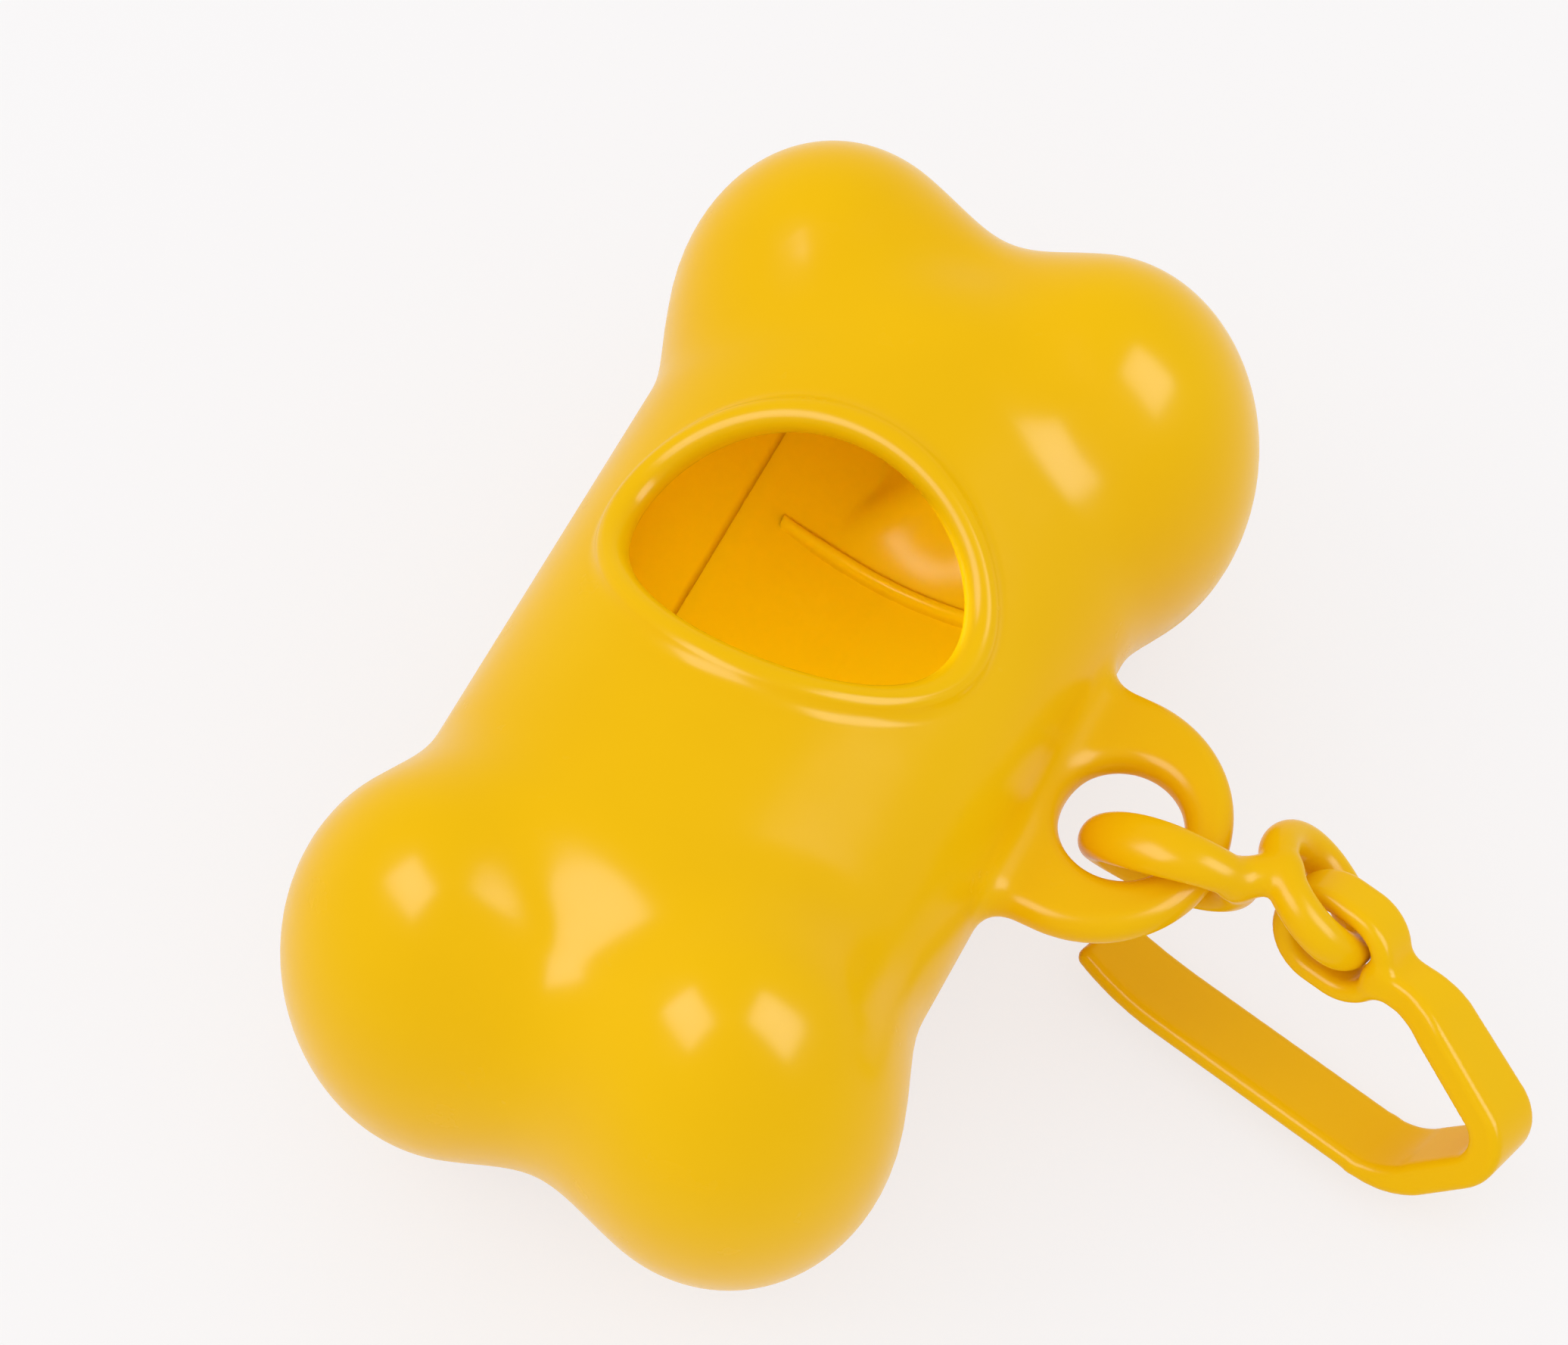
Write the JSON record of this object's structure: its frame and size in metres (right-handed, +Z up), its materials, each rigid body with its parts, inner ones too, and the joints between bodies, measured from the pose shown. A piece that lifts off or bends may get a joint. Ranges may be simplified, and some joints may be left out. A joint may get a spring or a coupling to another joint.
{
  "type": "dog poop bag dispenser",
  "caption": "Bone-shaped hollow dispenser for a roll of pet waste bags, with a mouth in front, a back cover, and a link with a strap clip on its side lug.",
  "frame": {"origin": "middle of the small flat on the back that the bone lies on", "axes": "X to the side lug, Y along the bone, Z up out of the mouth"},
  "size_m": [0.0846, 0.0832, 0.0408],
  "materials": {
    "plastic": "gloss"
  },
  "bodies": {
    "cover": {"back_cover": "plastic"},
    "shell": {"front_shell": "plastic"},
    "link": {"chain_link": "plastic"},
    "bow": {"clip_bow": "plastic"},
    "tongue": {"clip_tongue": "plastic"}
  },
  "joints": [
    {"name": "shell_lift", "type": "slide", "parent": "cover", "child": "shell", "axis": [0, 0, 1], "range_m": [0, 0.03]},
    {"name": "link_swing", "type": "hinge", "parent": "shell", "child": "link", "pos_m": [0.0326, 0.0024, 0.0198], "axis": [0, 1, 0], "range_deg": [-30, 20]},
    {"name": "clip_swing", "type": "hinge", "parent": "link", "child": "bow", "pos_m": [0.04456, 0.00359, 0.01597], "axis": [0.1807, 0.8881, -0.4226], "range_deg": [-40, 10]},
    {"name": "tongue_flex", "type": "hinge", "parent": "bow", "child": "tongue", "pos_m": [0.05093, -0.00422, 0.00228], "axis": [0.1807, 0.8881, -0.4226], "range_deg": [0, 12]}
  ]
}
